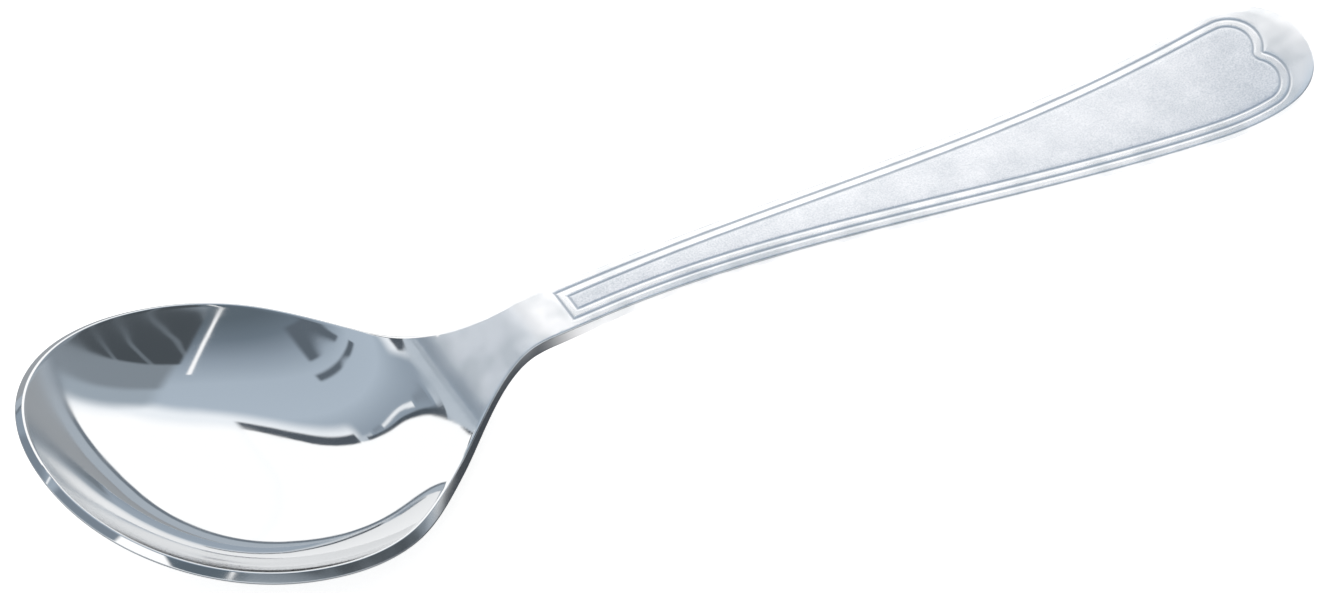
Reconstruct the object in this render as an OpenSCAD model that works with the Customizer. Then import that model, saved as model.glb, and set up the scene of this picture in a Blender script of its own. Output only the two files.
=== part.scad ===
// Round-bowled soup spoon, stamped from one blank of stainless steel.
// It lies as on a table: X runs from the bowl to the handle's end, Y across, Z up, in millimetres.

/* [Overall] */
// Length from the front of the bowl's mouth to the end of the handle
spoon_length = 180; // [172:1:195]

/* [Bowl] */
// Width of the mouth, inside the rim
mouth_width = 48.7; // [42:0.1:54]
// Length of the mouth in front of its widest place
mouth_front = 26.1; // [23:0.1:29]
// Half length of the oval behind its widest place
mouth_back = 25.4; // [23:0.1:28]
// Fullness of the oval seen from above, where 2 is an ellipse
bowl_fullness = 2.1; // [2:0.05:2.5]
// Depth of the hollow under the rim
bowl_depth = 8; // [6:0.1:11]
// Fullness of the hollow seen in section, where 2 is an open dish and more gives steeper walls
hollow_fullness = 3; // [2.2:0.1:4]
// Distance behind the oval where the hollow has run out
heel_run = 3.5; // [1:0.1:7]
// Thickness of the steel at the rim
rim_thickness = 1.6; // [1.2:0.1:2.2]
// Lean of the rim's ground face, square to the sheet it ends
rim_lean = 45; // [30:1:60]
// Thickness of the bowl's floor
floor_thickness = 1.8; // [1.4:0.1:2.2]
// Depth to which the belly is dressed flat where it rests on the table
rest_flat = 0.3; // [0.1:0.05:0.4]
// Fall of the rim line from the tip towards the heel, in degrees
rim_tilt = 16; // [12:0.5:20]
// Sag of the rim line between the tip and the heel
rim_sag = 0.95; // [0:0.05:1.5]

/* [Neck] */
// Width of the neck
neck_width = 7.5; // [6.5:0.1:9.5]
// Length of the shoulders behind the oval
shoulder_length = 15; // [11:0.5:19]
// Thickness at the neck's sides
neck_side = 2; // [1.5:0.1:2.4]
// Thickness through the neck's middle
neck_thickness = 3.2; // [2.6:0.1:4]
// Distance in front of the narrowest place where the bowl's piece ends
bowl_joint_run = 8.5; // [6:0.5:11]
// Distance in front of the panel's line where the neck's piece ends
neck_joint_run = 2.5; // [1.5:0.1:4]

/* [Handle] */
// Width that the taper reaches near the round end
handle_width = 19.8; // [16:0.1:24]
// Distance from the end to the place where that width is reached
broad_run = 10; // [6:0.5:15]
// Distance from the neck to the start of the taper
taper_run = 12; // [8:0.5:20]
// Power of the taper, where 1 gives straight sides
taper_power = 1.65; // [1.2:0.05:2.2]
// Length over which the end rounds off
cap_run = 38; // [30:1:46]
// Squareness of the round end
end_power = 8; // [5:0.5:10]
// Height of the arch's edges above the table
arch_height = 10.6; // [8:0.1:15]
// Distance from the neck to the place where the edges reach that height
crest_run = 2.2; // [1:0.1:6]
// Distance from the neck to the place where the handle starts to fall
arch_run = 9.7; // [7:0.1:16]
// Distance from the neck over which its section thins to the handle's
slim_run = 29; // [20:1:40]
// Thickness at the handle's sides
handle_side = 1.1; // [0.8:0.1:1.6]
// Extra thickness under the handle's middle
handle_belly = 0.9; // [0.5:0.1:1.5]
// Crown of the handle's top
handle_crown = 0.25; // [0:0.05:0.5]
// Distance from the end to the place where the handle rests
dip_run = 16.5; // [12:0.5:25]
// Rise of the end above the place where the handle rests
end_rise = 2.3; // [1:0.1:4]
// Slope at which the end leaves
end_slope = 0.19; // [0:0.01:0.4]

/* [Panel] */
// Distance from the neck to the line that opens the panel
panel_gap = 5.5; // [4.5:0.1:8]
// Width of the polished border outside the grooves
border_width = 1; // [0.8:0.05:1.4]
// Distance between the two grooves that leave the thread standing
groove_spacing = 1.25; // [1:0.05:1.6]
// Width of a groove
groove_width = 0.6; // [0.4:0.05:0.8]
// Depth of a groove
groove_depth = 0.15; // [0.1:0.05:0.3]
// Length of the plain boss beyond the panel's lobes
boss_length = 4.3; // [3:0.1:6]
// Length of the two lobes that end the panel
lobe_length = 4.4; // [3.5:0.1:6]
// Depth of the cusp between the two lobes
cusp_depth = 1.05; // [0.6:0.05:2]

/* [Hidden] */
steel = [0.80, 0.82, 0.84];

// Shares of the oval's back where the shoulders leave it, where the hollow starts to run out
// and where the rim line ends
shoulder_share = 0.52;
turn_share = 0.75;
heel_share = 0.965;

// Stations along the spoon, counted from the front of the mouth
x_wide = mouth_front;
x_shoulder = x_wide + shoulder_share * mouth_back;
x_turn = x_wide + turn_share * mouth_back;
x_heel = x_wide + heel_share * mouth_back;
x_sink = x_wide + mouth_back + heel_run;
x_neck = x_wide + mouth_back + shoulder_length;
shoulder_run = x_neck - x_shoulder;
x_bowl_end = x_neck - bowl_joint_run;
x_crest = x_neck + crest_run;
x_arch = x_neck + arch_run;
x_panel = x_neck + panel_gap;
x_neck_end = x_panel - neck_joint_run;
x_taper = x_neck + taper_run;
x_slim = x_neck + slim_run;
x_dip = spoon_length - dip_run;
x_broad = spoon_length - broad_run;
x_cap = spoon_length - cap_run;

// Rim face, and the hollow and belly it joins
rim_out = rim_thickness * sin(rim_lean);
rim_drop = rim_thickness * cos(rim_lean);
under_depth = bowl_depth + floor_thickness - rim_drop;
neck_belly = neck_thickness - neck_side;
dip_height = handle_side + handle_belly;

// Middle of the length, so that the part stands on its own centre
x_mid = (spoon_length - rim_out) / 2;

// Fineness of the surfaces
lanes = [0, 0.3, 0.58, 0.82, 1];
front_steps = 22;
back_steps = 18;
ring_steps = 16;
neck_steps = 14;
side_steps = 44;
corner_steps = 6;
lobe_steps = 16;
cusp_steps = 4;
rest_steps = 60;
least_half = 0.001;

function hermite(t, a, da, b, db) =
    (2 * t ^ 3 - 3 * t ^ 2 + 1) * a + (t ^ 3 - 2 * t ^ 2 + t) * da
    + (3 * t ^ 2 - 2 * t ^ 3) * b + (t ^ 3 - t ^ 2) * db;
function mix(a, b, t) = t == 0 ? a : t == 1 ? b : a + (b - a) * t;
function ease(t) = t <= 0 ? 0 : t >= 1 ? 1 : t * t * (3 - 2 * t);

// Oval of the mouth: 1 at its widest place and 0 at its ends, grown outwards for the underside
function oval(x, grow) = abs(x - x_wide) / ((x < x_wide ? mouth_front : mouth_back) + grow);
function share(x, grow) = max(0, 1 - oval(x, grow) ^ bowl_fullness);
function share_slope(x, grow) =
    -bowl_fullness * oval(x, grow) ^ (bowl_fullness - 1) / (mouth_back + grow);
function oval_half(x, grow) = (mouth_width / 2 + grow) * share(x, grow) ^ (1 / bowl_fullness);
function oval_slope(grow) =
    oval_half(x_shoulder, grow) * share_slope(x_shoulder, grow)
    / (bowl_fullness * share(x_shoulder, grow));

// Plan: half width at each station
function end_share(x) = 1 - min(1, max(0, (x - x_cap) / (spoon_length - x_cap))) ^ end_power;
function taper(x) = max(0, (x - x_taper) / (x_broad - x_taper)) ^ taper_power;
function stem_half(x) = mix(neck_width, handle_width, taper(x)) / 2 * sqrt(end_share(x));
function shoulder_t(x) = (x - x_shoulder) / shoulder_run;
function half(x, grow) =
    x < x_shoulder ? oval_half(x, grow)
    : x < x_neck ? hermite(shoulder_t(x), oval_half(x_shoulder, grow),
                           oval_slope(grow) * shoulder_run, neck_width / 2, 0)
    : stem_half(x);

// Side view: height of the edge line, falling along the rim, rising at the neck, arched to the end
function rim_line(x) = -tan(rim_tilt) * x - 4 * rim_sag * (x / x_heel) * (1 - x / x_heel);
rim_end_slope = -tan(rim_tilt) + 4 * rim_sag / x_heel;
// The tip stands as high as lets the bowl's belly rest on its flat
tip_height = -rest_flat + max([for (i = [0 : rest_steps])
    let (x = x_turn * i / rest_steps) rim_drop + sunk(x, 1, rim_out, under_depth) - rim_line(x)]);
function edge_z(x) =
    x < x_heel ? tip_height + rim_line(x)
    : x < x_crest ? hermite((x - x_heel) / (x_crest - x_heel), tip_height + rim_line(x_heel),
                            rim_end_slope * (x_crest - x_heel), arch_height, 0)
    : x < x_arch ? arch_height
    : x < x_dip ? hermite((x - x_arch) / (x_dip - x_arch), arch_height, 0, dip_height, 0)
    : hermite((x - x_dip) / (spoon_length - x_dip), dip_height, 0,
              dip_height + end_rise, end_slope * (spoon_length - x_dip));

// Section: share left inside the edge, 1 on the axis and 0 at the edge
function across(x, y, grow) =
    let (w = half(x, grow)) w < least_half ? 0 : max(0, 1 - (abs(y) / w) ^ bowl_fullness);
// Hollow: the oval's share, taken over at the heel with its slope and bend, and run out to nothing
function run_out(x, grow) =
    let (run = x_sink - x_turn,
         t = min(1, (x - x_turn) / run),
         a = share(x_turn, grow),
         slope = share_slope(x_turn, grow) * run,
         bend = slope * run * (bowl_fullness - 1) / (x_turn - x_wide))
    (1 - t) ^ 3 * (a * (1 - t) ^ 2 + (5 * a + slope) * (1 - t) * t
                   + (10 * a + 4 * slope + bend / 2) * t ^ 2);
function hollow_share(x, grow) = x < x_turn ? share(x, grow) : run_out(x, grow);
function sunk(x, inside, grow, depth) =
    depth * (1 - (1 - hollow_share(x, grow) * inside) ^ (hollow_fullness / bowl_fullness));
// Crown above, sides and belly below, from the bowl through the neck to the handle
function slim(x) = ease((x - x_neck) / (x_slim - x_neck));
function crown(x) = handle_crown * slim(x) * end_share(x);
function drop(x) =
    x < x_neck ? mix(rim_drop, neck_side, ease(shoulder_t(x))) : mix(neck_side, handle_side, slim(x));
function belly(x) =
    x < x_neck ? neck_belly * ease((x - x_turn) / (x_neck - x_turn))
    : mix(neck_belly, handle_belly, slim(x)) * end_share(x);
function on_top(p) =
    let (inside = across(p.x, p.y, 0))
    [p.x - x_mid, p.y, edge_z(p.x) - sunk(p.x, inside, 0, bowl_depth) + crown(p.x) * inside];
function on_low(p) =
    let (inside = across(p.x, p.y, rim_out))
    [p.x - x_mid, p.y, max(0, edge_z(p.x) - drop(p.x)
                              - sunk(p.x, inside, rim_out, under_depth) - belly(p.x) * inside)];

// Skin between rows of points; triangles that shrink to nothing are left out
function triangle(a, b, c) = a == b || b == c || c == a ? [] : [[a, b, c]];
function skin(rows) = [for (i = [0 : len(rows) - 2], j = [0 : len(rows[i]) - 2])
    each concat(triangle(rows[i][j], rows[i][j + 1], rows[i + 1][j + 1]),
                triangle(rows[i][j], rows[i + 1][j + 1], rows[i + 1][j]))];
function turned(faces) = [for (f = faces) [f[0], f[2], f[1]]];
function across_y(p) = [p.x, -p.y, p.z];
function mirrored(faces) = [for (f = faces) [across_y(f[0]), across_y(f[2]), across_y(f[1])]];
// Closed body from the triangles of its half on the +Y side
module both_halves(faces) {
    all = concat(faces, mirrored(faces));
    polyhedron(
        points = [for (f = all, p = f) p],
        faces = [for (i = [0 : len(all) - 1]) [3 * i, 3 * i + 1, 3 * i + 2]]);
}

// Bowl: rays from the deepest place to the rim, and across the plane where the neck begins
function bowl_outline(grow) = concat(
    [for (i = [0 : front_steps]) let (a = 90 * i / front_steps)
        [x_wide - (mouth_front + grow) * cos(a) ^ (2 / bowl_fullness),
         (mouth_width / 2 + grow) * sin(a) ^ (2 / bowl_fullness)]],
    [for (i = [1 : back_steps]) let (x = mix(x_wide, x_bowl_end, i / back_steps)) [x, half(x, grow)]],
    [for (i = [len(lanes) - 2 : -1 : 0]) [x_bowl_end, lanes[i] * half(x_bowl_end, grow)]]);
function ray(p) = [for (i = [0 : ring_steps]) let (s = i / ring_steps)
    [mix(x_wide, p.x, s), mix(0, p.y, s)]];

module bowl() {
    top = [for (p = bowl_outline(0)) [for (r = ray(p)) on_top(r)]];
    low = [for (p = bowl_outline(rim_out)) [for (r = ray(p)) on_low(r)]];
    wall = [for (k = [0 : len(top) - 1]) [top[k][ring_steps], low[k][ring_steps]]];
    color(steel)
        both_halves(concat(skin(top), turned(skin(low)), skin(wall)));
}

// Neck: sections from the bowl's plane to the handle's plane
module neck() {
    stations = [for (i = [0 : neck_steps]) mix(x_bowl_end, x_neck_end, i / neck_steps)];
    last = len(lanes) - 1;
    top = [for (x = stations) [for (f = lanes) on_top([x, f * half(x, 0)])]];
    low = [for (x = stations) [for (f = lanes) on_low([x, f * half(x, rim_out)])]];
    wall = concat(
        [for (j = [0 : last]) [top[0][j], low[0][j]]],
        [for (i = [1 : neck_steps]) [top[i][last], low[i][last]]],
        [for (j = [last - 1 : -1 : 0]) [top[neck_steps][j], low[neck_steps][j]]]);
    color(steel)
        both_halves(concat(skin(top), turned(skin(low)), skin(wall)));
}

// Handle: rings that follow the edge, the two grooves and the field, each from axis to axis
x_lobe = spoon_length - boss_length - lobe_length;
cusp_angle = 180 - asin(1 - cusp_depth / lobe_length);
lobe_half = (half(x_lobe, 0) - border_width) / (1 - cos(cusp_angle));
lobe_offset = -lobe_half * cos(cusp_angle);
cusp = [x_lobe + lobe_length - cusp_depth, 0];
end_steps = corner_steps + lobe_steps + cusp_steps;
insets = [for (g = [0, groove_spacing], d = [0, 0.5, 1]) g + d * groove_width];
lifts = [0, -groove_depth, 0, 0, -groove_depth, 0];
border_shares = [0.4, 0.75];

function edge_plan() = concat(
    [for (f = lanes) [x_neck_end, f * half(x_neck_end, 0)]],
    [for (i = [1 : side_steps]) let (x = mix(x_neck_end, x_lobe, i / side_steps)) [x, half(x, 0)]],
    [for (i = [1 : end_steps])
        let (x = mix(x_lobe, spoon_length, sin(90 * i / end_steps))) [x, half(x, 0)]]);

// Turn round a lobe, even on both sides of its top, as far as the cusp on the axis
function lobe_angle(i) =
    i <= corner_steps ? (180 - cusp_angle) * i / corner_steps
    : (180 - cusp_angle) + (2 * cusp_angle - 180) * (i - corner_steps) / lobe_steps;
function lobe_normal(a) = let (n = -[sin(a) / lobe_length, cos(a) / lobe_half]) n / norm(n);
function lobe_point(a, inset) =
    [x_lobe + lobe_length * sin(a), lobe_offset + lobe_half * cos(a)] + inset * lobe_normal(a);
// Round the cusp, from the lobe's own direction to the axis
cusp_normal = lobe_normal(cusp_angle);
cusp_from = atan2(cusp_normal.y, cusp_normal.x);
function cusp_point(i, inset) =
    let (a = mix(cusp_from, 180, i / cusp_steps)) cusp + inset * [cos(a), sin(a)];
function ring_plan(inset) =
    let (x0 = x_panel + inset)
    concat(
        [for (f = lanes) [x0, f * (half(x0, 0) - border_width - inset)]],
        [for (i = [1 : side_steps]) let (x = mix(x0, x_lobe, i / side_steps))
            [x, half(x, 0) - border_width - inset]],
        [for (i = [1 : corner_steps + lobe_steps - 1]) lobe_point(lobe_angle(i), inset)],
        [for (i = [0 : cusp_steps]) cusp_point(i, inset)]);

module handle() {
    n = len(lanes) - 1;
    edge = edge_plan();
    inner = [for (d = insets) ring_plan(d)];
    last = len(edge) - 1;
    rings = [for (k = [0 : last]) concat(
        [for (r = [len(insets) - 1 : -1 : 0]) on_top(inner[r][k]) + [0, 0, lifts[r]]],
        [for (s = border_shares) on_top(mix(inner[0][k], edge[k], s))],
        [on_top(edge[k])])];
    // Field: lanes from the axis to the side, then between the two sides of a lobe
    field = inner[len(insets) - 1];
    turn = n + side_steps;
    meet = turn + corner_steps - cusp_steps;
    lobe_top = turn + corner_steps + lobe_steps / 2;
    opposite = [for (k = [n : lobe_top])
        k <= turn ? [field[k].x, 0]
        : k < meet ? [mix(x_lobe, field[last].x, (k - turn) / (meet - turn)), 0]
        : field[last + meet - k]];
    field_rows = concat(
        [[for (j = [0 : n]) on_top(field[j])]],
        [for (k = [n + 1 : lobe_top]) [for (f = lanes) on_top(mix(opposite[k - n], field[k], f))]]);
    low_rows = [for (k = [n : last]) [for (f = lanes) on_low([edge[k].x, f * edge[k].y])]];
    wall = [for (k = [0 : last]) [on_top(edge[k]), on_low(edge[k])]];
    color(steel)
        both_halves(concat(skin(rings), skin(field_rows), turned(skin(low_rows)), skin(wall)));
}

bowl();
neck();
handle();
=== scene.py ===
# %% [markdown]
# # A stamped steel soup spoon
# The spoon is one blank of stainless steel: cut flat, pressed into its bowl and arch, coined with
# two grooves round the handle's panel, and polished. This lesson follows the same order. A flat
# blank is drawn from plain formulas, a Geometry Nodes tree presses it, and two finishes and a
# studio do the rest. All sizes are metres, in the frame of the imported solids.

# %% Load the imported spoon
import math

import bpy
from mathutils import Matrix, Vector


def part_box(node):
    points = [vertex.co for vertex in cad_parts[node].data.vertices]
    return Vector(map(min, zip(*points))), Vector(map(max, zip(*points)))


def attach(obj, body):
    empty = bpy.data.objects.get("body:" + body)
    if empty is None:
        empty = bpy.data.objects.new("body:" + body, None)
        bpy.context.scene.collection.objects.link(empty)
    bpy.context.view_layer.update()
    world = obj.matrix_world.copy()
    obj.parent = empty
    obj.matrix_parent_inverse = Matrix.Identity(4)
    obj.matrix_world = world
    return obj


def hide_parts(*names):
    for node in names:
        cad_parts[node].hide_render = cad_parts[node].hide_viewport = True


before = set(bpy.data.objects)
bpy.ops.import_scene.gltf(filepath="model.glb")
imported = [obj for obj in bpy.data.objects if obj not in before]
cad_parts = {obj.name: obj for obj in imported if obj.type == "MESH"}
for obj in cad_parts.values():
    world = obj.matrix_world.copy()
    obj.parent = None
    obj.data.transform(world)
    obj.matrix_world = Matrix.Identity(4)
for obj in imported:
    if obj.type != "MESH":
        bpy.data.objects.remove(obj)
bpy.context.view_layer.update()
MM = 0.001


# %% [markdown]
# ## Sizes of the spoon
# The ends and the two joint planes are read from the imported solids. The other sizes are those of the
# drawing: a mouth that is nearly round, a long shoulder, a slim neck and a handle that widens to a
# full round end. Stations are counted from the front of the mouth, as a maker would measure them.

# %% Ends and joints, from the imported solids
rim_thickness = 1.6 * MM
rim_lean = math.radians(45)
rim_out = rim_thickness * math.sin(rim_lean)
rim_drop = rim_thickness * math.cos(rim_lean)

mouth_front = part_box("bowl")[0][0] + rim_out
spoon_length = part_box("handle")[1][0] - mouth_front
bowl_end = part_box("neck")[0][0] - mouth_front
neck_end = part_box("neck")[1][0] - mouth_front
print("spoon", round(spoon_length / MM, 2), "mm, joints at", round(bowl_end / MM, 2), round(neck_end / MM, 2))

# %% Sizes of bowl, neck and handle
mouth_width = 48.7 * MM
mouth_half = mouth_width / 2
oval_front = 26.1 * MM
oval_back = 25.4 * MM
fullness = 2.1
bowl_depth = 8.0 * MM
hollow_fullness = 3.0
floor_thickness = 1.8 * MM
belly_depth = bowl_depth + floor_thickness - rim_drop
rest_flat = 0.3 * MM
rim_tilt = math.radians(16)
rim_fall = math.tan(rim_tilt)
rim_sag = 0.95 * MM

neck_width = 7.5 * MM
neck_half = neck_width / 2
neck_side = 2.0 * MM
neck_belly = 1.2 * MM

handle_width = 19.8 * MM
handle_half = handle_width / 2
taper_power = 1.65
end_power = 8
handle_side = 1.1 * MM
handle_belly = 0.9 * MM
handle_crown = 0.25 * MM
arch_height = 10.6 * MM
rest_height = handle_side + handle_belly
end_rise = 2.3 * MM
end_height = rest_height + end_rise
end_slope = 0.19
print("mouth", round(mouth_width / MM, 1), "neck", round(neck_width / MM, 1), "mm wide")

# %% Stations along the spoon
shoulder_share, turn_share, heel_share = 0.52, 0.75, 0.965
heel_run = 3.5 * MM
shoulder_length = 15 * MM
crest_run = 2.2 * MM
arch_run = 9.7 * MM
slim_run = 29 * MM
taper_run = 12 * MM
panel_gap = 5.5 * MM
dip_run = 16.5 * MM
broad_run = 10 * MM
cap_run = 38 * MM

at_shoulder = oval_front + shoulder_share * oval_back
at_turn = oval_front + turn_share * oval_back
at_heel = oval_front + heel_share * oval_back
at_sink = oval_front + oval_back + heel_run
at_neck = oval_front + oval_back + shoulder_length
at_crest = at_neck + crest_run
at_arch = at_neck + arch_run
at_slim = at_neck + slim_run
at_taper = at_neck + taper_run
at_panel = at_neck + panel_gap
at_rest = spoon_length - dip_run
at_broad = spoon_length - broad_run
at_cap = spoon_length - cap_run
print("neck at", round(at_neck / MM, 1), "panel from", round(at_panel / MM, 1), "mm")


# %% [markdown]
# ## The outline of the blank
# Seen from above, the bowl is an oval a little fuller than an ellipse. A cubic takes it over at the
# shoulder and brings it to the neck, and a power curve widens the handle to its round end. The
# underside has the same outline, grown by the lean of the rim's ground face.

# %% Half width at each station
def cubic(x, x0, x1, start, start_slope, end, end_slope):
    """Height at x of the cubic that leaves x0 and reaches x1 with the given heights and slopes."""
    t = (x - x0) / (x1 - x0)
    a, b = start_slope * (x1 - x0), end_slope * (x1 - x0)
    return (start * (1 + 2 * t) * (1 - t) ** 2 + end * t * t * (3 - 2 * t)
            + a * t * (1 - t) ** 2 - b * t * t * (1 - t))


def oval_share(x, grow):
    """One at the widest place of the mouth, nothing at its two ends."""
    reach = (oval_front if x < oval_front else oval_back) + grow
    return max(0.0, 1 - (abs(x - oval_front) / reach) ** fullness)


def share_slope(x, grow):
    """Slope of that share behind the widest place."""
    reach = oval_back + grow
    return -fullness * ((x - oval_front) / reach) ** (fullness - 1) / reach


def oval_half(x, grow):
    """Half width of the mouth's oval."""
    return (mouth_half + grow) * oval_share(x, grow) ** (1 / fullness)


def half_width(x, grow=0.0):
    """Half width of the blank at x, grown for the underside of the bowl."""
    if x < at_shoulder:
        return oval_half(x, grow)
    if x < at_neck:
        start = oval_half(at_shoulder, grow)
        slope = start * share_slope(at_shoulder, grow) / (fullness * oval_share(at_shoulder, grow))
        return cubic(x, at_shoulder, at_neck, start, slope, neck_half, 0)
    widen = max(0.0, (x - at_taper) / (at_broad - at_taper)) ** taper_power
    closing = max(0.0, (x - at_cap) / (spoon_length - at_cap)) ** end_power
    return (neck_half + (handle_half - neck_half) * widen) * math.sqrt(max(0.0, 1 - closing))


print("widths", [round(2 * half_width(s) / MM, 1) for s in (oval_front, at_neck, at_broad)], "mm")


# %% [markdown]
# ## The panel on the handle
# Two coined grooves leave a fine raised thread between them. They run parallel to the edge, cross
# the handle squarely near the neck, and end in two round lobes with a cusp between. An outline at
# any distance inside the border is the same path, pushed inwards. The grooves are cut less deep than
# in the solids, because on bright steel a deep one draws too dark a line.

# %% Sizes of the panel
border_width = 1.0 * MM
groove_width = 0.6 * MM
groove_spacing = 1.25 * MM
groove_depth = 0.07 * MM
lobe_length = 4.4 * MM
cusp_depth = 1.05 * MM
boss_length = 4.3 * MM
at_lobe = spoon_length - boss_length - lobe_length
cusp_turn = math.pi - math.asin(1 - cusp_depth / lobe_length)
lobe_half = (half_width(at_lobe) - border_width) / (1 - math.cos(cusp_turn))
lobe_offset = -lobe_half * math.cos(cusp_turn)
at_cusp = at_lobe + lobe_length - cusp_depth
print("panel", round((at_cusp - at_panel) / MM, 1), "mm long, lobes", round(2 * lobe_half / MM, 1), "mm wide")

# %% Half of the panel's outline
lane_count = 12
lanes = [i / lane_count for i in range(lane_count + 1)]
side_steps, corner_steps, lobe_steps, cusp_steps = 150, 14, 36, 10


def lobe_inwards(turn):
    """Direction into the panel at this turn round a lobe."""
    return -Vector((math.sin(turn) / lobe_length, math.cos(turn) / lobe_half)).normalized()


def lobe_turn(i):
    """Turns round a lobe, even on both sides of its top, as far as the cusp."""
    corner = math.pi - cusp_turn
    if i <= corner_steps:
        return corner * i / corner_steps
    return corner + (2 * cusp_turn - math.pi) * (i - corner_steps) / lobe_steps


def panel_line(inset):
    """Half of the panel's outline, from the axis near the neck to the cusp on the axis."""
    start = at_panel + inset
    line = [(start, f * (half_width(start) - border_width - inset)) for f in lanes]
    for i in range(1, side_steps + 1):
        x = start + (at_lobe - start) * i / side_steps
        line.append((x, half_width(x) - border_width - inset))
    for i in range(1, corner_steps + lobe_steps):
        turn = lobe_turn(i)
        on_lobe = Vector((at_lobe + lobe_length * math.sin(turn), lobe_offset + lobe_half * math.cos(turn)))
        line.append(tuple(on_lobe + inset * lobe_inwards(turn)))
    first = lobe_inwards(cusp_turn)
    from_angle = math.atan2(first.y, first.x)
    for i in range(cusp_steps + 1):
        angle = from_angle + (math.pi - from_angle) * i / cusp_steps
        y = 0.0 if i == cusp_steps else inset * math.sin(angle)
        line.append((at_cusp + inset * math.cos(angle), y))
    return line


groove_lines = [panel_line(g + groove_width / 2) for g in (0.0, groove_spacing)]
print("half a groove has", len(groove_lines[0]), "points")


# %% [markdown]
# ## The flat blank
# A mesh drawn in rows gives even quads where light will slide over the steel: rays from the deepest
# place of the bowl to its rim, rows across the neck, and rings that follow the grooves on the
# handle. Each point remembers which sheet it belongs to, the top or the underside, and how far it
# lies from the axis to the edge. The press needs no more than that.

# %% A blank that keeps each point once
TOP, LOW = 0, 1
BOWL, NECK, HANDLE = 0, 1, 2
least_width = 0.001 * MM
same_digits = 5


class Blank:
    """Points and quads of the flat blank, each point kept once."""

    def __init__(self):
        self.points, self.index = [], {}
        self.faces, self.pieces, self.satin, self.rounded = [], [], [], []

    def point(self, p, sheet):
        """Number of the point at this place of a sheet, added if it is new."""
        key = (round(p[0] / MM, same_digits), round(p[1] / MM, same_digits), sheet)
        if key not in self.index:
            self.index[key] = len(self.points)
            grow = rim_out if sheet == LOW else 0.0
            width = half_width(p[0], grow)
            share = min(1.0, abs(p[1]) / width) if width > least_width else 1.0
            self.points.append((p[0], p[1], share, sheet))
        return self.index[key]

    def face(self, corners, piece, satin):
        """One face, without the corners that fall together."""
        loop = [c for i, c in enumerate(corners) if c != corners[i - 1]]
        if len(set(loop)) > 2:
            self.faces.append(loop)
            self.pieces.append(piece)
            self.satin.append(satin)

    def skin(self, rows, sheets, piece, satin=False, flip=False):
        """Quads between rows of points, on both sides of the axis."""
        for side in (1, -1):
            turned = (side > 0) != flip
            ids = [[self.point((p[0], p[1] * side), s) for p, s in zip(row, sheets)] for row in rows]
            for a, b in zip(ids, ids[1:]):
                for j in range(len(a) - 1):
                    quad = [a[j], a[j + 1], b[j + 1], b[j]]
                    self.face(quad[::-1] if turned else quad, piece, satin)

    def wall(self, top, low, piece):
        """The edge of the sheet, between the outlines of its two faces; both its arrises are rounded."""
        self.skin(list(zip(top, low)), (TOP, LOW), piece)
        for line, sheet in ((top, TOP), (low, LOW)):
            for side in (1, -1):
                ids = [self.point((p[0], p[1] * side), sheet) for p in line]
                self.rounded += [(a, b) for a, b in zip(ids, ids[1:]) if a != b]


blank = Blank()
print("sheets", (TOP, LOW), "pieces", (BOWL, NECK, HANDLE))

# %% Bowl: rays from its deepest place to the rim
front_steps, back_steps, ring_steps = 60, 64, 56


def mixed(a, b, t):
    """Point between a and b, exact at both ends."""
    if t in (0, 1):
        return b if t else a
    return (a[0] + (b[0] - a[0]) * t, a[1] + (b[1] - a[1]) * t)


def mouth_outline(grow):
    """Half of the bowl's outline, from its tip to the joint with the neck and back to the axis."""
    line = []
    for i in range(front_steps + 1):
        a = math.pi / 2 * i / front_steps
        c, s = (max(0.0, math.cos(a)), math.sin(a)) if i < front_steps else (0.0, 1.0)
        line.append((oval_front - (oval_front + grow) * c ** (2 / fullness),
                     (mouth_half + grow) * s ** (2 / fullness)))
    for i in range(1, back_steps + 1):
        x = oval_front + (bowl_end - oval_front) * i / back_steps
        line.append((x, half_width(x, grow)))
    return line + [(bowl_end, f * half_width(bowl_end, grow)) for f in lanes[-2::-1]]


rays = [i / ring_steps for i in range(ring_steps + 1)]
deepest = (oval_front, 0.0)
outlines = {sheet: mouth_outline(rim_out if sheet == LOW else 0.0) for sheet in (TOP, LOW)}
for sheet in (TOP, LOW):
    rows = [[mixed(deepest, p, t) for t in rays] for p in outlines[sheet]]
    blank.skin(rows, [sheet] * len(rays), BOWL, flip=sheet == LOW)
rim = front_steps + back_steps + 1
blank.wall(outlines[TOP][:rim], outlines[LOW][:rim], BOWL)
print("bowl:", len(blank.points), "points,", len(blank.faces), "faces")

# %% Neck: rows across
neck_steps = 28
stations = [bowl_end + (neck_end - bowl_end) * i / neck_steps for i in range(neck_steps + 1)]
for sheet in (TOP, LOW):
    grow = rim_out if sheet == LOW else 0.0
    rows = [[(x, f * half_width(x, grow)) for f in lanes] for x in stations]
    blank.skin(rows, [sheet] * len(lanes), NECK, flip=sheet == LOW)
sides = [[(x, half_width(x, grow)) for x in stations] for grow in (0.0, rim_out)]
blank.wall(sides[0], sides[1], NECK)
print("bowl and neck:", len(blank.points), "points,", len(blank.faces), "faces")

# %% Handle: rings that follow the grooves
groove_count = 8
groove_shares = [i / groove_count for i in range(groove_count + 1)]
thread_shares = [0.25, 0.5, 0.75]
border_shares = [0.2, 0.4, 0.62]
thread_width = groove_spacing - groove_width
insets = ([groove_width * g for g in groove_shares]
          + [groove_width + thread_width * t for t in thread_shares]
          + [groove_spacing + groove_width * g for g in groove_shares])

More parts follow.
